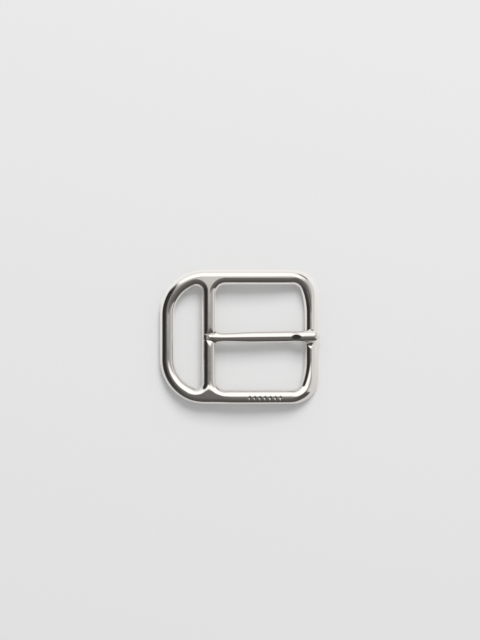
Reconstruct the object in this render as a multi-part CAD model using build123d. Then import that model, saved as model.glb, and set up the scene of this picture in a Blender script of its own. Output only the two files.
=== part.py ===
from build123d import *
import os
from math import asin, cos, radians, sin, sqrt

# Centre-bar belt buckle: a one-piece cast frame, and a prong whose eye is closed round the frame's bar.
# Millimetres. X runs from the bar towards the prong's tip, Y along the bar, and Z up out of the front.
# The origin is the middle of the bar, on the prong's hinge axis.

# Frame, in plan
STRAP_WIDTH = 35.0
BAR_CLEAR = STRAP_WIDTH + 1.0  # free length of the bar between the long rails
LONG_RAIL = 5.0  # width of the rails along the strap's edges
SHORT_RAIL = 4.8  # width of the bar and of both end rails
BAR_TO_KEEPER = 12.1  # hinge axis to the inside of the keeper's end rail
BAR_TO_SEAT = 32.8  # hinge axis to the inside of the rail that the prong rests on
KEEPER_CORNER = 15.4  # outer corners at the keeper's end
KEEPER_INNER_CORNER = 10.6
SEAT_CORNER = 8.9  # outer corners at the prong's end
SEAT_INNER_CORNER = 2.9
SEAT_BEND = 24.0  # the inside of that rail bends at this radius before its corners
SEAT_BEND_START = 8.0  # straight for this much on either side of the middle
BAR_CORNER_KEEPER = 2.0  # window corners between bar and long rail, keeper side
BAR_CORNER_SEAT = 3.2  # the same, prong side

# Frame, in section
THICKNESS = 4.2
ARCH_RADIUS = 148.0  # front crown, bowed about Y to follow the waist
BAR_TOP = 1.9  # hinge axis to the bar's crown
BAR_DIP = 0.1  # how far the bar's crown lies below the long rails'
DIP_INSET = 0.6  # the slope between the two crowns ends this far short of the long rails
DIP_RUN = 2.5  # and is this long
DIP_MARGIN = 0.5  # the dip reaches this far past the corners on either side of the bar
DIP_TURN = 10.0  # degrees about the arch's centre, from the frame's middle to well past the bar
FRONT_ROUND = 2.3  # every front edge
BACK_ROUND = 0.9  # every back edge
FOOT_CUT = 0.35  # ground off below the two end rails, so that the frame lies flat

# Neck that the prong's eye turns on
NECK_RADIUS = 1.25
NECK_HALF = 0.7  # half length of the cylindrical neck
SHOULDER_HALF = 1.2  # half length with the two sloping shoulders
SHOULDER_RADIUS = 2.5  # where the shoulders end, just outside the bar's sides
RUNNING_GAP = 0.07  # clearance of the prong on neck and shoulders, and round the bar

# Two facets beside the neck open it towards the prong: a point on one of them, and the way it faces
FACET_PLACE = (-1.0, 0.3, 1.75)
FACET_FACING = (0.32, 0.33, 0.89)

# Seat for the prong's tip, in the end rail
SEAT_DEPTH = 0.95
SEAT_FLOOR_HALF = 2.2
SEAT_MOUTH_HALF = 2.9
SEAT_FLOOR_ROUND = 0.5
SEAT_GAP = 0.04  # prong to seat, at rest

# Prong
EYE_RADIUS = 2.33  # outside of the eye, on its crest
EYE_HALF = 1.0
EYE_TOP = 2.05  # its crest is flattened, nearly flush with the bar
ROD_CROWN = 2.27
ROD_CLIMB = 0.25  # the rod's crown climbs this much out of the eye
CLIMB_END = 1.5
ROD_DEPTH = 3.0
ROD_START = 0.1  # the rod grows out of the eye from here
ROD_ARCH = 400.0  # the rod follows the frame's arch less steeply
COLLAR_START = 0.5  # the rod widens from here
COLLAR_X = 2.4  # to here, over the bar's edge
COLLAR_HALF = 2.1
SHANK_X = 4.8  # where the rod is narrowest, just clear of the bar
SHANK_HALF = 1.76
ROD_X = 16.0  # from here to the tip the rod keeps its width
ROD_HALF = 2.1
KICK_START = 27.6  # the rod rises from here
KICK_END = 32.6  # to here, over the end rail's inner edge
TIP_DEPTH = 2.95  # rod over the seat, floor to crown
TIP_END = 38.1
TIP_ROUND = 2.3  # length of the rounded end
TIP_HEIGHT = 0.35  # the tip closes at this fraction of the rod's depth
TIP_TURN = radians(84)  # how far the rounding turns: the last few degrees are a tiny flat
BELLY_ROUND = 0.8  # the rod's lower edges
SEAM = 0.12  # gap where the eye's end closes on the rod's underside
ROD_STEP = 1.0  # distance between the cross-sections that the rod is lofted through
TIP_STEPS = 5  # cross-sections in the rounded tip

# Row of stamped lozenges along a long rail
LOZENGES = 7
LOZENGE_PITCH = 1.75
LOZENGE_LENGTH = 1.3
LOZENGE_WIDTH = 1.9
LOZENGE_DEPTH = 0.3
LOZENGES_X = 19.2
LOZENGES_IN = 2.2  # from the frame's outer edge

# Places that follow from the sizes
HALF_HEIGHT = BAR_CLEAR / 2 + LONG_RAIL
HALF_BAR = SHORT_RAIL / 2
KEEPER_END = -(BAR_TO_KEEPER + SHORT_RAIL)
SEAT_END = BAR_TO_SEAT + SHORT_RAIL
SEAT_X = BAR_TO_SEAT + HALF_BAR
ARCH_X = (SEAT_END + KEEPER_END) / 2
ARCH_Z = BAR_TOP + BAR_DIP - sqrt(ARCH_RADIUS**2 - ARCH_X**2)  # centre of the arch
DIP_END = BAR_CLEAR / 2 - DIP_INSET
REACH = 60.0  # cutting tools this long pass right through
MARGIN = 1.0  # and others stand out this much
LEVEL = 0.3  # a face whose normal rises more than this isn't one of the blank's sides
UPRIGHT = 0.9  # an edge that rises more than this isn't part of a rim


def arc_z(x, radius):
    """Height at x of a surface that follows the arch."""
    return ARCH_Z + sqrt(radius**2 - (x - ARCH_X) ** 2)


SEAT_FALL = (SEAT_X - ARCH_X) / (arc_z(SEAT_X, ARCH_RADIUS) - ARCH_Z)  # slope of the end rail's crown


def seat_z(x):
    """Height of the seat's floor, which lies parallel to the crown it is cut into."""
    return arc_z(SEAT_X, ARCH_RADIUS) - SEAT_DEPTH - SEAT_FALL * (x - SEAT_X)


# ---- frame ----


def end_corners(face, end):
    """The corners at one end of a flat face: end is 0 for its lowest X and -1 for its highest."""
    return face.vertices().group_by(Axis.X)[end]


def plan_outline():
    """Outer edge of the frame."""
    face = Pos(ARCH_X, 0) * Rectangle(SEAT_END - KEEPER_END, 2 * HALF_HEIGHT)
    face = fillet(end_corners(face, 0), KEEPER_CORNER)
    return fillet(end_corners(face, -1), SEAT_CORNER)


def window(far_x, far_corner, bar_corner):
    """The opening between the bar and the end rail whose inside is at far_x."""
    side = 1 if far_x > 0 else -1
    room = Rectangle(2 * abs(far_x), BAR_CLEAR)
    if far_x == BAR_TO_SEAT:
        bent = Rot(0, 0, 90) * SlotCenterToCenter(2 * SEAT_BEND_START, 2 * SEAT_BEND)
        room &= Pos(far_x - SEAT_BEND, 0) * bent
    long_sides = room.vertices().group_by(Axis.Y)
    far_corners = [corner for corner in long_sides[0] + long_sides[-1] if side * corner.X > HALF_BAR]
    room = fillet(far_corners, far_corner)
    room &= Pos(side * (HALF_BAR + REACH / 2), 0) * Rectangle(REACH, REACH)
    return fillet(end_corners(room, 0 if side > 0 else -1), bar_corner)


def bowed_plate():
    """A bowed plate with parallel faces, bigger than the frame."""
    length = 2 * (HALF_HEIGHT + MARGIN)
    plate = Cylinder(ARCH_RADIUS, length) - Cylinder(ARCH_RADIUS - THICKNESS, length)
    return Pos(ARCH_X, 0, ARCH_Z) * Rot(90, 0, 0) * plate


def bar_dip():
    """What comes off above the bar: a level run with an S-shaped slope at each end, all bowed."""
    crown = ARCH_Z + ARCH_RADIUS
    low = crown - BAR_DIP
    level = DIP_END - DIP_RUN
    fall = Spline((-DIP_END, crown), (-level, low), tangents=((1, 0), (1, 0)))
    run = Line((-level, low), (level, low))
    rise = Spline((level, low), (DIP_END, crown), tangents=((1, 0), (1, 0)))
    top = crown + MARGIN
    lid = Polyline((DIP_END, crown), (DIP_END, top), (-DIP_END, top), (-DIP_END, crown))
    section = Plane((ARCH_X, 0, 0), x_dir=(0, 1, 0), z_dir=(1, 0, 0)) * make_face(fall + run + rise + lid)
    band = revolve(section, Axis((ARCH_X, 0, ARCH_Z), (0, 1, 0)), -DIP_TURN)
    left = -HALF_BAR - BAR_CORNER_KEEPER - DIP_MARGIN
    right = HALF_BAR + BAR_CORNER_SEAT + DIP_MARGIN
    return band & Pos((left + right) / 2, 0, 0) * Box(right - left, REACH, REACH)


def rim_edges(blank, front):
    """The edges between the blank's upright sides and its front, or its back."""
    rim = []
    for side in blank.faces():
        if abs(side.normal_at(side.center()).Z) > LEVEL:
            continue
        for edge in side.edges():
            middle = edge @ 0.5
            upright = abs((edge % 0.5).Z) > UPRIGHT
            above = middle.Z > arc_z(middle.X, ARCH_RADIUS - THICKNESS / 2)
            if not upright and above == front:
                rim.append(edge)
    return rim


def turned(points):
    """A body turned about the bar's axis, from its half section in Y and radius."""
    section = Plane((0, 0, 0), x_dir=(0, 1, 0), z_dir=(1, 0, 0)) * make_face(Polyline(*points, close=True))
    return revolve(section, Axis.Y)


def spindle(gap):
    """The neck, its two sloping shoulders and a cylinder round the bar beside them, all grown by gap."""
    slope = (SHOULDER_RADIUS - NECK_RADIUS) / (SHOULDER_HALF - NECK_HALF)
    neck = NECK_RADIUS + gap
    shoulder = SHOULDER_RADIUS + gap * sqrt(1 + slope**2)
    neck_half = SHOULDER_HALF - (shoulder - neck) / slope
    past_collar = COLLAR_HALF + MARGIN
    profile = [(neck_half, neck), (SHOULDER_HALF, shoulder), (past_collar, shoulder), (past_collar, 0)]
    mirrored = [(-y, radius) for y, radius in reversed(profile)]
    return turned(profile + mirrored)


def neck_groove():
    """What comes off round the bar to leave the neck and shoulders."""
    return Rot(90, 0, 0) * Cylinder(2 * SHOULDER_RADIUS, 2 * SHOULDER_HALF) - spindle(0)


def facet(side):
    """What comes off the bar above the facet on one side of the neck."""
    x, y, z = FACET_PLACE
    east, inwards, up = FACET_FACING
    surface = Plane((x, side * y, z), z_dir=(east, -side * inwards, up))
    block = surface * Pos(0, 0, REACH / 2) * Box(REACH, REACH, REACH)
    return block & Pos(0, side * HALF_BAR / 2, 0) * Box(SHORT_RAIL, HALF_BAR, REACH)


def seat_cut():
    """The notch for the prong's tip, square to the end rail and tilted with its crown."""
    top = SEAT_DEPTH + 2 * MARGIN
    spread = SEAT_MOUTH_HALF - SEAT_FLOOR_HALF
    lift = SEAT_DEPTH / spread
    wide = SEAT_FLOOR_HALF + top / lift
    points = ((-wide, top), (-SEAT_FLOOR_HALF, 0), (SEAT_FLOOR_HALF, 0), (wide, top))
    face = make_face(Polyline(*points, close=True))
    face = fillet(face.vertices().group_by(Axis.Y)[0], SEAT_FLOOR_ROUND)
    section = Plane((SEAT_X, 0, seat_z(SEAT_X)), x_dir=(0, 1, 0), z_dir=(1, 0, -SEAT_FALL)) * face
    return extrude(section, SHORT_RAIL, both=True)


def lozenge(x):
    """One four-sided point, pressed into the crown of the rail at x."""
    outline = make_face(Polyline(
        (-LOZENGE_LENGTH, 0), (0, -LOZENGE_WIDTH), (LOZENGE_LENGTH, 0), (0, LOZENGE_WIDTH), close=True))
    slope = -(x - ARCH_X) / ARCH_RADIUS
    place = Plane((x, -HALF_HEIGHT + LOZENGES_IN, arc_z(x, ARCH_RADIUS) - LOZENGE_DEPTH),
                  x_dir=(1, 0, slope), z_dir=(-slope, 0, 1))
    return loft([place.location * Vertex(0, 0, 0), place * Pos(0, 0, 2 * LOZENGE_DEPTH) * outline])


def make_frame():
    """Rails, bar, neck and seat in one casting."""
    plan = plan_outline()
    plan -= window(-BAR_TO_KEEPER, KEEPER_INNER_CORNER, BAR_CORNER_KEEPER)
    plan -= window(BAR_TO_SEAT, SEAT_INNER_CORNER, BAR_CORNER_SEAT)
    frame = (bowed_plate() & extrude(plan, REACH, both=True)) - bar_dip()
    frame = fillet(rim_edges(frame, front=True), FRONT_ROUND)
    frame = fillet(rim_edges(frame, front=False), BACK_ROUND)
    frame -= neck_groove()
    frame -= facet(1)
    frame -= facet(-1)
    frame -= seat_cut()
    foot_z = frame.bounding_box().min.Z + FOOT_CUT
    frame -= Pos(ARCH_X, 0, foot_z - REACH / 2) * Box(2 * REACH, REACH, REACH)
    for i in range(LOZENGES):
        frame -= lozenge(LOZENGES_X + (i - (LOZENGES - 1) / 2) * LOZENGE_PITCH)
    return frame


# ---- prong ----


def smooth(x, start, end):
    """0 before start, 1 after end, and an S-curve between."""
    t = min(max((x - start) / (end - start), 0), 1)
    return t * t * (3 - 2 * t)


def mix(a, b, t):
    """From a at t = 0 to b at t = 1."""
    return a + (b - a) * t


def rod_span(x):
    """Underside and crown of the rod at x, leaving out the rounding of its tip."""
    kick = smooth(x, KICK_START, KICK_END)
    crown = ROD_CROWN - x * x / (2 * ROD_ARCH) - ROD_CLIMB * (1 - smooth(x, ROD_START, CLIMB_END))
    rest = seat_z(x) + SEAT_GAP
    return mix(crown - ROD_DEPTH, rest, kick), mix(crown, rest + TIP_DEPTH, kick)


def rod_half(x):
    """Half width of the rod at x, leaving out the rounding of its tip."""
    if x < COLLAR_X:
        return mix(EYE_HALF, COLLAR_HALF, smooth(x, COLLAR_START, COLLAR_X))
    if x < SHANK_X:
        return mix(COLLAR_HALF, SHANK_HALF, smooth(x, COLLAR_X, SHANK_X))
    return mix(SHANK_HALF, ROD_HALF, smooth(x, SHANK_X, ROD_X))


def tip_shrink(x):
    """How much the rounding of the tip leaves of the rod's section at x."""
    into_tip = max((x - TIP_END) / TIP_ROUND + 1, 0)
    return cos(asin(into_tip * sin(TIP_TURN)))


def rod_section(x):
    """The rod's domed cross-section at x: level belly, rounded lower edges, elliptical back."""
    low, high = rod_span(x)
    shrink = tip_shrink(x)
    middle = mix(low, high, TIP_HEIGHT)
    low = mix(middle, low, shrink)
    high = mix(middle, high, shrink)
    half = rod_half(x) * shrink
    corner = BELLY_ROUND * half / ROD_HALF
    waist = low + corner
    belly = Line((-half + corner, low), (half - corner, low))
    right = CenterArc((half - corner, waist), corner, -90, 90)
    back = EllipticalCenterArc((0, waist), half, high - waist, 0, arc_size=180)
    left = CenterArc((-half + corner, waist), corner, 180, 90)
    face = make_face(belly + right + back + left)
    return Plane((x, 0, 0), x_dir=(0, 1, 0), z_dir=(1, 0, 0)) * face


def rod():
    """The rod, lofted from the eye to its tip. Even steps keep the loft from rippling."""
    length = TIP_END - TIP_ROUND - ROD_START
    count = round(length / ROD_STEP)
    places = [ROD_START + length * i / count for i in range(count)]
    tip = [sin(TIP_TURN * i / TIP_STEPS) / sin(TIP_TURN) for i in range(TIP_STEPS + 1)]
    places += [TIP_END - TIP_ROUND * (1 - along) for along in tip]
    return loft([rod_section(x) for x in places])


def eye():
    """The closed loop round the neck: solid here, bored by the spindle's shape afterwards."""
    loop = Rot(90, 0, 0) * Cylinder(EYE_RADIUS, 2 * EYE_HALF)
    return loop & Pos(0, 0, EYE_TOP - REACH / 2) * Box(REACH, REACH, REACH)


def seam():
    """The gap where the eye's end meets the rod's underside."""
    belly = ROD_CROWN - ROD_DEPTH
    return Pos(EYE_RADIUS, 0, belly - SEAM / 2) * Box(EYE_RADIUS + NECK_RADIUS / 2, 3 * EYE_HALF, SEAM)


def make_prong():
    """Rod and eye in one piece."""
    return (rod() + eye()) - spindle(RUNNING_GAP) - seam()


os.makedirs("parts", exist_ok=True)
export_step(make_frame(), "parts/frame.step")
export_step(make_prong(), "parts/prong.step")
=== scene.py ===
"""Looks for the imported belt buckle: polished casting and prong, pale floor, soft studio light.

Blender works in metres. The shape functions below work in millimetres in the part's own frame:
X from the bar to the prong's tip, Y along the bar, Z up, and the origin on the hinge axis.
"""

import math

import bpy
import numpy as np
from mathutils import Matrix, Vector


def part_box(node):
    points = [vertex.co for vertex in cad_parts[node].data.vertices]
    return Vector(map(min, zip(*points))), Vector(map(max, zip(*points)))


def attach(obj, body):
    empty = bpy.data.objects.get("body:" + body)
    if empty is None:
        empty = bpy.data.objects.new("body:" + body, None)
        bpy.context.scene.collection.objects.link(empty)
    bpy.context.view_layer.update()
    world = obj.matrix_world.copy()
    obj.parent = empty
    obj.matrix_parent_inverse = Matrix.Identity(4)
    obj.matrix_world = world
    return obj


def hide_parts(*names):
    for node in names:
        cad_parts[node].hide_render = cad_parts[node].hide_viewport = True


MM = 0.001

# Frame in plan (mm): the rails' widths and corners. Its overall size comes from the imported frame.
HALF_BAR = 2.4
SHORT_RAIL = 4.8
LONG_RAIL = 5.0
KEEPER_CORNER = 15.4
KEEPER_INNER_CORNER = 10.6
SEAT_CORNER = 8.9
SEAT_INNER_CORNER = 2.9
BAR_CORNER_KEEPER = 2.0
BAR_CORNER_SEAT = 3.2
SEAT_BEND = 24.0
SEAT_BEND_START = 8.0

# Frame in section (mm)
THICKNESS = 4.2
ARCH_RADIUS = 148.0
BAR_TOP = 1.9
FRONT_ROUND = 2.3
BACK_ROUND = 0.9

# The bar's crown lies lower than the long rails'. It rises to the -Y rail between these distances
# from the middle, and to the +Y rail gently over the bar's whole length. Beside the bar it rises
# between the two distances of the fade.
BAR_DIP = 0.1
DIP_START = 15.9
DIP_END = 17.8
DIP_FADE_START = 5.0
DIP_FADE_END = 8.0

# What polishing does to the casting (mm)
DIP_SLANT = 0.75  # at -Y the rise starts this much later for each mm beside the bar's middle
DIP_RIDGE = 0.15  # which makes a ridge, rounded by this much
JUNCTION_FALL = 0.016  # at -Y the junction of bar and rail is faintly domed
JUNCTION_FADE_START = 3.0
SEAT_END_FALL = 0.009  # the crown falls away faster towards the seat's end, from here
SEAT_END_START = 30.4
SEAT_OUTER_ROUND = 0.9  # the seat's rail is rounder than the others, by this outside
SEAT_INNER_ROUND = 0.8  # by this inside, where it is straight
SEAT_BEND_ROUND = 0.7  # and by this inside, where it bends
EDGE_SOFTENING = 0.22  # cut edges
SEAT_SOFTENING = 1.0  # the seat's edges on the -Y side
SEAT_SOFTENING_REACH = 1.0  # they sharpen over this much either side of the middle
FACET_SOFTENING = 0.3
WELL_INSIDE = -1.0  # a depth at which no softening reaches the surface

# Neck and seat (mm)
NECK_RADIUS = 1.25
NECK_HALF = 0.7
SHOULDER_HALF = 1.2
SHOULDER_RADIUS = 2.5
RUNNING_GAP = 0.07
FACET_PLACE = (-1.0, 0.3, 1.75)
FACET_FACING = (0.32, 0.33, 0.89)
SEAT_DEPTH = 0.95
SEAT_FLOOR_HALF = 2.2
SEAT_MOUTH_HALF = 2.9
SEAT_FLOOR_ROUND = 0.5
SEAT_GAP = 0.04

# Prong (mm)
EYE_RADIUS = 2.33
EYE_HALF = 1.0
EYE_TOP = 2.05
EYE_CREST_ROUND = 0.5
ROD_CROWN = 2.27
ROD_DEPTH = 3.0
ROD_ARCH = 400.0
ROD_START = 0.1
ROD_CLIMB = 0.25
CLIMB_END = 1.5
COLLAR_START = 0.5
COLLAR_X = 2.4
COLLAR_HALF = 2.1
SHANK_X = 4.8
SHANK_HALF = 1.76
ROD_X = 16.0
ROD_HALF = 2.1
KICK_START = 27.6
KICK_END = 32.6
TIP_DEPTH = 2.93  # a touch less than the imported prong's: what polishing takes off
TIP_ROUND = 2.3
BELLY_ROUND = 0.8
BELLY_POWER = 3.2  # the lower edges are squarer than a circle, whose power is 2
BACK_POWER = 2.4  # and so is the back, on the -Y side
ROD_SKEW = 0.0125  # the rod lies askew at this slope, about a place this far along it
SKEW_X = 12.0
SEAM = 0.12
EYE_FILLET = 0.25  # between eye and rod
BORE_SOFTENING = 0.1
SEAM_SOFTENING = 0.03

# Row of lozenges (mm)
LOZENGES = 7
LOZENGE_PITCH = 1.75
LOZENGE_LENGTH = 1.3
LOZENGE_WIDTH = 1.9
LOZENGE_DEPTH = 0.3
LOZENGES_X = 19.2
LOZENGES_IN = 2.2

# Meshing (mm)
FRAME_VOXEL = 0.16
PRONG_VOXEL = 0.1
WELD_GAP = 0.002
SLOPE_STEP = 0.01  # gradients are taken over this much on either side
LONGEST_MOVE = 0.15  # no point moves further than this in a round
LEAST_SQUARE = 0.05  # smallest squared gradient that a move is divided by
FIRST_ROUNDS = 4  # moves onto the surface before the first evening
EVENINGS = 3
EVENING_SHARE = 0.6  # how far a point goes to the middle of its neighbours
ROUNDS_AFTER = 2  # moves onto the surface after each evening


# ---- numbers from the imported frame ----

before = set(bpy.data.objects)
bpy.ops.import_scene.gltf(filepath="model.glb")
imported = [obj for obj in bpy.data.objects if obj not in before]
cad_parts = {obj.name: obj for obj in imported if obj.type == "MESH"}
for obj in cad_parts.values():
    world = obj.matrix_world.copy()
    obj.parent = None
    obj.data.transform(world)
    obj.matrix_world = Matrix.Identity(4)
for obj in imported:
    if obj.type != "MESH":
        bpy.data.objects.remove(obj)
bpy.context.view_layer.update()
frame_low, frame_high = (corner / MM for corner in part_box("frame"))
prong_low, prong_high = (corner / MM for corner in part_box("prong"))
KEEPER_END = frame_low.x
SEAT_END = frame_high.x
HALF_HEIGHT = frame_high.y
FOOT_Z = frame_low.z
TIP_END = prong_high.x
BAR_HALF_CLEAR = HALF_HEIGHT - LONG_RAIL
SEAT_X = SEAT_END - SHORT_RAIL / 2
ARCH_X = (KEEPER_END + SEAT_END) / 2  # centre of the arch, and below it its height
ARCH_Z = BAR_TOP + BAR_DIP - math.sqrt(ARCH_RADIUS**2 - ARCH_X**2)


# ---- distance fields, negative inside ----


def smooth(x, start, end):
    """0 before start, 1 after end, and an S-curve between."""
    t = np.clip((x - start) / (end - start), 0, 1)
    return t * t * (3 - 2 * t)


def mix(a, b, t):
    """From a at t = 0 to b at t = 1."""
    return a + (b - a) * t


def both(a, b, radius):
    """What lies inside a and b, with the edge between them rounded."""
    a = a + radius
    b = b + radius
    return np.minimum(np.maximum(a, b), 0) + np.hypot(np.maximum(a, 0), np.maximum(b, 0)) - radius


def either(a, b, radius):
    """What lies inside a or b, with the corner between them filled to a radius."""
    return -both(-a, -b, radius)


def rounded_box(x, y, left, right, half, left_corner, right_corner):
    """A rectangle from left to right and -half to half, with its own corner radius at each end."""
    middle = (left + right) / 2
    corner = np.where(x > middle, right_corner, left_corner)
    return both(np.abs(x - middle) - (right - left) / 2, np.abs(y) - half, corner)


def with_corner(field, ux, uy, first, second, radius):
    """A field with one corner rounded.

    ux and uy run from the rounding's centre to the point, and first and second to the rounding's ends.
    """
    between = (first[0] * uy > first[1] * ux) & (ux * second[1] > uy * second[0])
    return np.where(between, np.hypot(ux, uy) - radius, field)


def keeper_window(x, y):
    """The D-shaped opening: large corners at its far end, small ones where they run into the bar."""
    far = KEEPER_END + SHORT_RAIL
    room = rounded_box(x, y, far, -far, BAR_HALF_CLEAR, KEEPER_INNER_CORNER, KEEPER_INNER_CORNER)
    sharp = np.maximum(room, x + HALF_BAR)
    arc_x = far + KEEPER_INNER_CORNER
    arc_y = BAR_HALF_CLEAR - KEEPER_INNER_CORNER
    centre_x = -HALF_BAR - BAR_CORNER_KEEPER
    apart = KEEPER_INNER_CORNER - BAR_CORNER_KEEPER
    centre_y = arc_y + math.sqrt(apart**2 - (centre_x - arc_x) ** 2)
    outward = (centre_x - arc_x, centre_y - arc_y)
    ux = x - centre_x
    uy = np.abs(y) - centre_y
    return with_corner(sharp, ux, uy, (1, 0), outward, BAR_CORNER_KEEPER)


def seat_window(x, y):
    """The strap's opening: small corners at the bar, and a far side that bends before its corners."""
    far = SEAT_END - SHORT_RAIL
    room = rounded_box(x, y, HALF_BAR, 2 * far, BAR_HALF_CLEAR, BAR_CORNER_SEAT, 0)
    bend_x = far - SEAT_BEND
    past = np.maximum(np.abs(y) - SEAT_BEND_START, 0)
    side = np.where(x > bend_x, np.hypot(x - bend_x, past) - SEAT_BEND, x - far)
    sharp = np.maximum(room, side)
    centre_y = BAR_HALF_CLEAR - SEAT_INNER_CORNER
    rise = centre_y - SEAT_BEND_START
    centre_x = bend_x + math.sqrt((SEAT_BEND - SEAT_INNER_CORNER) ** 2 - rise**2)
    outward = (centre_x - bend_x, rise)
    ux = x - centre_x
    uy = np.abs(y) - centre_y
    return with_corner(sharp, ux, uy, outward, (0, 1), SEAT_INNER_CORNER)


def front_field(x, y, crown):
    """The frame's outline less its two windows, with its front edges rounded into the crown."""
    outline = rounded_box(x, y, KEEPER_END, SEAT_END, HALF_HEIGHT, KEEPER_CORNER, SEAT_CORNER)
    windows = np.maximum(-seat_window(x, y), -keeper_window(x, y))
    at_seat = smooth(x, SEAT_END - 2 * LONG_RAIL, SEAT_END - SHORT_RAIL)
    at_corner = smooth(np.abs(y), SEAT_BEND_START, BAR_HALF_CLEAR)
    more_inside = mix(SEAT_INNER_ROUND, SEAT_BEND_ROUND, at_corner)
    outer = both(outline, crown, FRONT_ROUND + SEAT_OUTER_ROUND * at_seat)
    inner = both(windows, crown, FRONT_ROUND + more_inside * at_seat)
    return np.maximum(outer, inner)


def lozenge_row(x, y):
    """How deep the pressed lozenges are: each one is a four-sided point."""
    along = (x - LOZENGES_X) / LOZENGE_PITCH + LOZENGES / 2
    in_row = (along > 0) & (along < LOZENGES)
    from_middle = np.abs(along - np.floor(along) - 0.5) * LOZENGE_PITCH / (LOZENGE_LENGTH / 2)
    across = np.abs(y + HALF_HEIGHT - LOZENGES_IN) / (LOZENGE_WIDTH / 2)
    return LOZENGE_DEPTH * np.where(in_row, np.maximum(1 - from_middle - across, 0), 0)


def crown_dip(x, y):
    """How far the front lies below the bowed crown."""
    slant = DIP_SLANT * np.minimum(np.hypot(x, DIP_RIDGE), HALF_BAR)
    low = (1 - smooth(-y - slant, DIP_START, DIP_END)) * (1 - smooth(y, -DIP_START, DIP_END))
    dip = BAR_DIP * low * (1 - smooth(np.abs(x), DIP_FADE_START, DIP_FADE_END))
    past_bar = np.maximum(-y - BAR_HALF_CLEAR, 0)
    at_junction = 1 - smooth(np.abs(x), JUNCTION_FADE_START, DIP_FADE_END)
    dip += JUNCTION_FALL * past_bar**2 * at_junction
    dip += SEAT_END_FALL * np.maximum(x - SEAT_END_START, 0) ** 2
    return dip + lozenge_row(x, y)


def spindle_field(x, y, z, gap):
    """The neck, its two sloping shoulders and a cylinder round the bar beside them, all grown by gap."""
    slope = (SHOULDER_RADIUS - NECK_RADIUS) / (SHOULDER_HALF - NECK_HALF)
    to_neck = np.hypot(x, z) - NECK_RADIUS
    to_shoulders = (to_neck - slope * (np.abs(y) - NECK_HALF)) / math.hypot(1, slope)
    to_cylinder = np.hypot(x, z) - SHOULDER_RADIUS
    return np.maximum(np.minimum(to_neck, to_shoulders), to_cylinder) - gap


def facet_field(x, y, z):
    """The bar below the two facets beside the neck. Far from the neck everything counts as below."""
    facing = np.array(FACET_FACING) / math.hypot(*FACET_FACING)
    above = (x - FACET_PLACE[0]) * facing[0] + (FACET_PLACE[1] - np.abs(y)) * facing[1]
    above += (z - FACET_PLACE[2]) * facing[2]
    near = (np.abs(x) < 1.5 * HALF_BAR) & (np.abs(y) < 2 * HALF_BAR)
    return np.where(near, above, WELL_INSIDE)


def seat_z(x):
    """Height of the seat's floor."""
    run = SEAT_X - ARCH_X
    rise = math.sqrt(ARCH_RADIUS**2 - run**2)
    return ARCH_Z + rise - SEAT_DEPTH - run / rise * (x - SEAT_X)


def seat_field(x, y, z):
    """The notch cut in the end rail, from a little before the rail's inner edge."""
    above = z - seat_z(x)
    spread = (SEAT_MOUTH_HALF - SEAT_FLOOR_HALF) / SEAT_DEPTH
    side = (np.abs(y) - SEAT_FLOOR_HALF - spread * above) / math.hypot(1, spread)
    return np.maximum(both(-above, side, SEAT_FLOOR_ROUND), (SEAT_END - 1.5 * SHORT_RAIL) - x)


def groove_field(x, y, z):
    """What comes off round the bar to leave the neck and shoulders."""
    ring = np.maximum(-spindle_field(x, y, z, 0), np.abs(y) - SHOULDER_HALF)
    return np.maximum(ring, np.hypot(x, z) - 2 * SHOULDER_RADIUS)


def frame_field(p):
    """The whole casting."""
    x, y, z = p.T
    rho = np.hypot(x - ARCH_X, z - ARCH_Z)
    front = front_field(x, y, rho - ARCH_RADIUS + crown_dip(x, y))
    body = both(front, ARCH_RADIUS - THICKNESS - rho, BACK_ROUND)
    body = both(body, -groove_field(x, y, z), EDGE_SOFTENING)
    body = both(body, facet_field(x, y, z), FACET_SOFTENING)
    other_side = smooth(y, -SEAT_SOFTENING_REACH, SEAT_SOFTENING_REACH)
    body = both(body, -seat_field(x, y, z), mix(SEAT_SOFTENING, EDGE_SOFTENING, other_side))
    return both(body, FOOT_Z - z, EDGE_SOFTENING)


def rod_half(x):
    """Half width of the rod: a collar over the bar's edge, a narrower shank, and then its full width."""
    half = mix(EYE_HALF, COLLAR_HALF, smooth(x, COLLAR_START, COLLAR_X))
    half += (SHANK_HALF - COLLAR_HALF) * smooth(x, COLLAR_X, SHANK_X)
    half += (ROD_HALF - SHANK_HALF) * smooth(x, SHANK_X, ROD_X)
    return half


def rod_field(x, y, z):
    """The prong's rod: a domed back on a flatter belly, closing to a blunt round tip."""
    y = y - ROD_SKEW * (x - SKEW_X) * smooth(x, 0, SKEW_X / 2)  # the eye itself stays square
    kick = smooth(x, KICK_START, KICK_END)
    crown = ROD_CROWN - x**2 / (2 * ROD_ARCH) - ROD_CLIMB * (1 - smooth(x, ROD_START, CLIMB_END))
    rest = seat_z(x) + SEAT_GAP
    low = mix(crown - ROD_DEPTH, rest, kick)
    high = mix(crown, rest + TIP_DEPTH, kick)
    half = rod_half(x)
    waist = low + BELLY_ROUND
    across = np.abs(y) / half
    up = np.maximum(z - waist, 0) / (high - waist)
    power = mix(2.0, BACK_POWER, smooth(-y, 0, ROD_HALF / 2))
    back = (across**power + up**power) ** (1 / power)
    down = np.maximum(waist - z, 0) / BELLY_ROUND
    belly = (across**BELLY_POWER + down**BELLY_POWER) ** (1 / BELLY_POWER)
    section = np.where(z > waist, back, belly)
    into_tip = np.maximum((x - TIP_END) / TIP_ROUND + 1, 0)
    size = mix(half, np.minimum(half, TIP_ROUND), into_tip > 0)
    rod = (np.hypot(section, into_tip) - 1) * size
    return np.maximum(rod, ROD_START - x)


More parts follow.
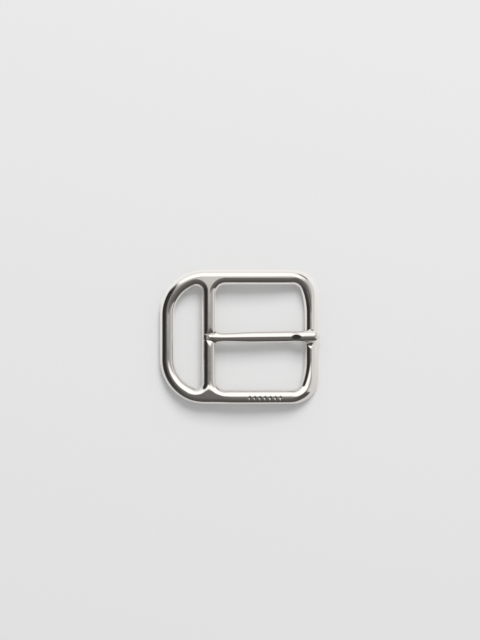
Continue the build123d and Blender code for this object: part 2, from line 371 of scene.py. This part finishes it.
def eye_field(x, y, z):
    """The loop round the neck, before it is bored."""
    outside = both(np.hypot(x, z) - EYE_RADIUS, z - EYE_TOP, EYE_CREST_ROUND)
    return both(outside, np.abs(y) - EYE_HALF, EDGE_SOFTENING)


def prong_field(p):
    """Rod and eye, bored to run on the neck and parted at the seam."""
    x, y, z = p.T
    prong = either(rod_field(x, y, z), eye_field(x, y, z), EYE_FILLET)
    prong = both(prong, -spindle_field(x, y, z, RUNNING_GAP), BORE_SOFTENING)
    belly = ROD_CROWN - ROD_DEPTH
    seam = np.maximum(np.abs(z - belly + SEAM / 2) - SEAM / 2, NECK_RADIUS / 2 - x)
    return both(prong, -seam, SEAM_SOFTENING)


# ---- meshes ----


def slope_of(field, points):
    """Value and gradient of a field at each point."""
    value = field(points)
    gradient = np.empty_like(points)
    for axis in range(3):
        shift = np.zeros(3)
        shift[axis] = SLOPE_STEP
        gradient[:, axis] = (field(points + shift) - field(points - shift)) / (2 * SLOPE_STEP)
    return value, gradient


def onto_surface(field, points, rounds):
    """Points moved to where the field is zero, by no more than a small step a round."""
    for _ in range(rounds):
        value, gradient = slope_of(field, points)
        square = np.maximum((gradient**2).sum(1), LEAST_SQUARE)
        move = gradient * (value / square)[:, None]
        length = np.maximum(np.linalg.norm(move, axis=1), 1e-9)
        points = points - move * np.minimum(1, LONGEST_MOVE / length)[:, None]
    return points


def evened(points, edges):
    """Points moved to the middle of their neighbours."""
    total = np.zeros_like(points)
    count = np.zeros(len(points))
    for here, there in ((edges[:, 0], edges[:, 1]), (edges[:, 1], edges[:, 0])):
        for axis in range(3):
            total[:, axis] += np.bincount(here, points[there, axis], len(points))
        count += np.bincount(here, minlength=len(points))
    return total / count[:, None]


def remeshed(node, name, voxel):
    """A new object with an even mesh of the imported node."""
    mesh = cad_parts[node].data.copy()
    rough = bpy.data.objects.new(name + "_rough", mesh)
    bpy.context.scene.collection.objects.link(rough)
    weld = rough.modifiers.new("weld", "WELD")
    weld.merge_threshold = WELD_GAP * MM
    remesh = rough.modifiers.new("remesh", "REMESH")
    remesh.mode = "VOXEL"
    remesh.voxel_size = voxel * MM
    evaluated = rough.evaluated_get(bpy.context.evaluated_depsgraph_get())
    even = bpy.data.meshes.new_from_object(evaluated)
    bpy.data.objects.remove(rough)
    piece = bpy.data.objects.new(name, even)
    bpy.context.scene.collection.objects.link(piece)
    return piece


def polished_piece(node, name, field, voxel):
    """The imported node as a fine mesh, with the places and normals of its polished surface."""
    piece = remeshed(node, name, voxel)
    mesh = piece.data
    points = np.empty(3 * len(mesh.vertices))
    mesh.vertices.foreach_get("co", points)
    points = points.reshape(-1, 3) / MM
    edges = np.empty(2 * len(mesh.edges), np.int64)
    mesh.edges.foreach_get("vertices", edges)
    edges = edges.reshape(-1, 2)
    points = onto_surface(field, points, FIRST_ROUNDS)
    for _ in range(EVENINGS):
        points = mix(points, evened(points, edges), EVENING_SHARE)
        points = onto_surface(field, points, ROUNDS_AFTER)
    _, gradient = slope_of(field, points)
    normals = gradient / np.linalg.norm(gradient, axis=1)[:, None]
    mesh.vertices.foreach_set("co", (points * MM).ravel())
    mesh.materials.clear()
    mesh.update()
    mesh.shade_smooth()
    mesh.normals_split_custom_set_from_vertices(normals)
    return piece


# ---- materials ----

# Texture of the plating: how fine each pattern is, to a metre, and how high its bumps are, in mm
WAVES = 160.0
WAVE_HEIGHT = 0.05
HAZE = 700.0
GRAIN = 9000.0
GRAIN_HEIGHT = 0.004

# Roughness of the plating
CLEAR = 0.05
HAZY = 0.11
GRAIN_ROUGHNESS = 0.02
RUB_ROUGHNESS = 0.25
RUB_REACH = 2.4  # from the middle of the seat's floor, in mm


class Graph:
    """Short ways to add and join shader nodes."""

    def __init__(self, tree):
        self.tree = tree

    def new(self, kind):
        return self.tree.nodes.new(kind)

    def feed(self, socket, value):
        """Join another node's output to a socket, or set the socket to a plain value."""
        if isinstance(value, bpy.types.NodeSocket):
            self.tree.links.new(value, socket)
        else:
            socket.default_value = value

    def node(self, kind, **inputs):
        """A new node with its inputs fed. Base_Color=... feeds the input called Base Color."""
        made = self.new(kind)
        for key, value in inputs.items():
            self.feed(made.inputs[key.replace("_", " ")], value)
        return made

    def math(self, operation, *values):
        made = self.new("ShaderNodeMath")
        made.operation = operation
        for socket, value in zip(made.inputs, values):
            self.feed(socket, value)
        return made.outputs[0]

    def degrees(self, angle):
        return self.math("MULTIPLY", angle, 180 / math.pi)

    def product(self, first, *others):
        for other in others:
            first = self.math("MULTIPLY", first, other)
        return first

    def ramp(self, value, start, end, at_start=0.0, at_end=1.0):
        """An S-curve from at_start, where value is at start, to at_end. Start may be the larger."""
        if start > end:
            start, end, at_start, at_end = end, start, at_end, at_start
        made = self.new("ShaderNodeMapRange")
        made.interpolation_type = "SMOOTHSTEP"
        names = ("Value", "From Min", "From Max", "To Min", "To Max")
        for name, number in zip(names, (value, start, end, at_start, at_end)):
            self.feed(made.inputs[name], number)
        return made.outputs[0]

    def blend(self, share, a, b):
        """Colour a at share 0 and b at share 1."""
        made = self.new("ShaderNodeMix")
        made.data_type = "RGBA"
        self.feed(made.inputs["Factor"], share)
        self.feed(made.inputs["A"], a)
        self.feed(made.inputs["B"], b)
        return made.outputs["Result"]

    def mixed(self, share, a, b):
        """Shader a at share 0 and b at share 1."""
        made = self.new("ShaderNodeMixShader")
        for socket, value in zip(made.inputs, (share, a, b)):
            self.feed(socket, value)
        return made.outputs[0]

    def noise(self, place, scale, detail, roughness=0.5):
        made = self.node("ShaderNodeTexNoise", Vector=place, Scale=scale, Detail=detail)
        made.inputs["Roughness"].default_value = roughness
        return made.outputs["Fac"]


def emptied(owner):
    """The node graph of a new material or world, with nothing in it."""
    owner.use_nodes = True
    owner.node_tree.nodes.clear()
    return Graph(owner.node_tree)


def grey(level, warmth=0.0):
    """A neutral colour, with red raised and blue lowered a little by warmth."""
    return (level * (1 + warmth), level, level * (1 - warmth), 1.0)


def rubbed_at_seat(g, place):
    """1 where prong and seat rub on each other, falling to 0 a little way off."""
    apart = g.new("ShaderNodeVectorMath")
    apart.operation = "DISTANCE"
    g.feed(apart.inputs[0], place)
    g.feed(apart.inputs[1], (SEAT_X * MM, 0, seat_z(SEAT_X) * MM))
    return g.ramp(apart.outputs["Value"], RUB_REACH * MM, RUB_REACH / 2 * MM)


def polished_metal(name):
    """Polished plating: faint buffing waves, a fine grain, a haze of handling, and the rubbed seat."""
    material = bpy.data.materials.new(name)
    g = emptied(material)
    place = g.node("ShaderNodeTexCoord").outputs["Object"]
    waves = g.noise(place, WAVES, 1.0)
    haze = g.noise(place, HAZE, 4.0, 0.6)
    grain = g.noise(place, GRAIN, 3.0, 0.7)
    rub = g.product(rubbed_at_seat(g, place), g.ramp(grain, 0.3, 0.7))
    rough = g.ramp(haze, 0.35, 0.75, CLEAR, HAZY)
    rough = g.math("ADD", rough, g.math("MULTIPLY", grain, GRAIN_ROUGHNESS))
    rough = g.math("ADD", rough, g.math("MULTIPLY", rub, RUB_ROUGHNESS))
    wavy = g.node("ShaderNodeBump", Strength=0.25, Distance=WAVE_HEIGHT * MM, Height=waves)
    grained = g.node("ShaderNodeBump", Strength=0.06, Distance=GRAIN_HEIGHT * MM, Height=grain,
                     Normal=wavy.outputs[0])
    tint = g.blend(haze, (0.80, 0.775, 0.745, 1), (0.84, 0.82, 0.795, 1))
    metal = g.node("ShaderNodeBsdfPrincipled", Base_Color=tint, Metallic=1.0, Roughness=rough,
                   Normal=grained.outputs[0])
    g.node("ShaderNodeOutputMaterial", Surface=metal.outputs[0])
    return material


# ---- studio ----

# How bright the places are that the metal mirrors
LIGHT = 1.25
OVERHEAD = 0.165
SOUTH_WALL = 0.088
WEST_WALL = 0.034
EAST_CEILING = 0.42
EAST_WALL = 0.76
NORTH_WALL = 0.90
GAP = 0.15
MIRRORED_PAPER_PAINTED_LIGHT = (0.62, 0.92)  # painted light: how bright the floor is painted for the metal to mirror, to the south and to the north of the buckle
MIRRORED_REACH = 35.0  # mm either way

# What lights the floor and what the camera sees round it
AMBIENT = 0.53
BACKDROP = 0.78
PAPER = (0.665, 0.685)
PAPER_GRAIN = 900.0  # to a metre
FLOOR_SIZE = 1.6  # m
FLOOR_GLOW = 0.08  # the paper glows: painted light, standing in for light that the metal throws back into its own shadows
KEY_PLACE = (0.35, 1.4, 1.4)  # m
KEY_SIZE = 1.0  # m
KEY_POWER = 32.0  # W

# Camera (mm)
VIEW_MIDDLE = (10.6, 5.85)
VIEW_HEIGHT = 218.9
SENSOR = 36.0
LENS = 100.0


def studio_colour(g, direction):
    """What the metal mirrors in a direction: a big soft light in a room with a dark south.

    Angles are in degrees. The rest is laid out on a ceiling plane one unit up, with X across it
    and Y to the north: height_over gives how far north a place lies of a line through the middle.
    """
    x, y, z = g.node("ShaderNodeSeparateXYZ", Vector=direction).outputs
    from_top = g.degrees(g.math("ARCCOSINE", z))
    from_west = g.degrees(g.math("ARCTAN2", g.math("MULTIPLY", y, -1.0), g.math("MULTIPLY", x, -1.0)))
    height = g.math("MAXIMUM", z, 0.03)
    across = g.math("DIVIDE", x, height)
    north = g.math("DIVIDE", y, height)
    northward = g.degrees(g.math("ARCTANGENT", north))

    def height_over(slope):
        return g.math("ADD", north, g.math("MULTIPLY", across, slope))

    # The dark room: lightest overhead, and darkest from the west round to the north
    colour = g.blend(g.ramp(from_top, 8.0, 62.0), grey(OVERHEAD, 0.03), grey(SOUTH_WALL, 0.035))
    west = g.product(g.ramp(from_west, 58.0, 5.0), g.ramp(from_top, 20.0, 40.0))
    colour = g.blend(west, colour, grey(WEST_WALL, 0.05))

    # In the east, a grey ceiling over a brighter wall
    low = g.ramp(from_top, 53.0, 58.0)
    east_colour = g.blend(low, grey(EAST_CEILING, 0.02), grey(EAST_WALL, 0.015))
    east = g.product(g.ramp(height_over(0.6), 0.0, 0.25), g.ramp(across, -0.05, 0.2))
    colour = g.blend(east, colour, east_colour)

    # In the north, a bright wall
    wall = g.product(g.ramp(from_top, 62.0, 68.0), g.ramp(height_over(0.6), -0.4, 1.0),
                     g.ramp(height_over(-0.6), 0.0, 1.5))
    colour = g.blend(wall, colour, grey(NORTH_WALL, 0.01))

    # The light: from the middle of the ceiling to the north wall, cut off aslant in east and west
    light = g.product(g.ramp(northward, -4.0, 7.0), g.ramp(height_over(0.945), -0.42, -0.13),
                      g.ramp(height_over(-0.9), -0.45, 0.05), g.ramp(from_top, 70.0, 63.0))
    colour = g.blend(light, colour, grey(LIGHT, 0.01))

    # Low in the north-east, a dark gap between the two walls
    gap = g.product(g.ramp(from_top, 74.0, 78.0), g.ramp(height_over(-0.8), -2.0, 0.5),
                    g.ramp(height_over(-1.4), 2.0, -0.5))
    return g.blend(gap, colour, grey(GAP, 0.03))


def studio_world():
    """The metal mirrors the studio, the camera sees a pale backdrop, and the rest is lit evenly."""
    world = bpy.data.worlds.new("studio")
    bpy.context.scene.world = world
    world.cycles.sampling_method = "NONE"
    g = emptied(world)
    direction = g.node("ShaderNodeTexCoord").outputs["Generated"]
    mirrored = g.node("ShaderNodeBackground", Color=studio_colour(g, direction), Strength=1.0)
    even = g.node("ShaderNodeBackground", Color=grey(AMBIENT), Strength=1.0)
    backdrop = g.node("ShaderNodeBackground", Color=grey(BACKDROP), Strength=1.0)
    path = g.node("ShaderNodeLightPath").outputs
    seen = g.mixed(path["Is Glossy Ray"], even.outputs[0], mirrored.outputs[0])
    shown = g.mixed(path["Is Camera Ray"], seen, backdrop.outputs[0])
    g.node("ShaderNodeOutputWorld", Surface=shown)


def pale_paper():
    """Matt paper with a whisper of grain, which can't be seen from below.

    For glossy rays it is painted brighter to the north: painted light, standing in for the paper lying
    under the light.
    """
    material = bpy.data.materials.new("pale_paper")
    g = emptied(material)
    place = g.node("ShaderNodeTexCoord").outputs["Object"]
    colour = g.blend(g.noise(place, PAPER_GRAIN, 3.0), grey(PAPER[0]), grey(PAPER[1]))
    north = g.node("ShaderNodeSeparateXYZ", Vector=place).outputs["Y"]
    # Painted light: the paper that the metal mirrors is painted brighter to the north
    mirrored = g.ramp(north, -MIRRORED_REACH * MM, MIRRORED_REACH * MM, *MIRRORED_PAPER_PAINTED_LIGHT)
    colour = g.blend(g.node("ShaderNodeLightPath").outputs["Is Glossy Ray"], colour, mirrored)
    paper = g.new("ShaderNodeAddShader")
    g.feed(paper.inputs[0], g.node("ShaderNodeBsdfDiffuse", Color=colour).outputs[0])
    # Painted light: the paper glows a little, which lightens the shadows
    g.feed(paper.inputs[1], g.node("ShaderNodeEmission", Color=grey(FLOOR_GLOW)).outputs[0])
    clear = g.node("ShaderNodeBsdfTransparent").outputs[0]
    below = g.node("ShaderNodeNewGeometry").outputs["Backfacing"]
    g.node("ShaderNodeOutputMaterial", Surface=g.mixed(below, paper.outputs[0], clear))
    return material


def pale_floor():
    """A pale sweep under the buckle."""
    bpy.ops.mesh.primitive_plane_add(size=FLOOR_SIZE, location=(ARCH_X * MM, 0, FOOT_Z * MM))
    floor = bpy.context.object
    floor.name = "floor"
    floor.data.materials.append(pale_paper())


def key_light():
    """A soft square light from the north. The metal doesn't mirror it: it mirrors the studio."""
    data = bpy.data.lights.new("key", "AREA")
    data.shape = "SQUARE"
    data.size = KEY_SIZE
    data.energy = KEY_POWER
    lamp = bpy.data.objects.new("key", data)
    bpy.context.scene.collection.objects.link(lamp)
    lamp.location = KEY_PLACE
    lamp.rotation_euler = (-Vector(KEY_PLACE)).to_track_quat("-Z", "Y").to_euler()
    lamp.visible_glossy = False


def look_down():
    """A camera straight above, a little beyond the buckle's middle."""
    data = bpy.data.cameras.new("camera")
    data.sensor_width = SENSOR
    data.sensor_fit = "AUTO"
    data.lens = LENS
    camera = bpy.data.objects.new("camera", data)
    bpy.context.scene.collection.objects.link(camera)
    middle_x, middle_y = VIEW_MIDDLE
    camera.location = (middle_x * MM, middle_y * MM, VIEW_HEIGHT * MM * LENS / SENSOR)
    bpy.context.scene.camera = camera


# ---- the scene ----


def dress(node, name, field, voxel):
    """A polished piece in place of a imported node, moving with the body of the same name."""
    piece = polished_piece(node, name, field, voxel)
    piece.data.materials.append(polished_metal("palladium_" + node))
    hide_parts(node)
    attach(piece, node)


dress("frame", "frame_casting", frame_field, FRAME_VOXEL)
dress("prong", "prong_tongue", prong_field, PRONG_VOXEL)
studio_world()
pale_floor()
key_light()
look_down()

bpy.context.scene.view_settings.view_transform = "Standard"
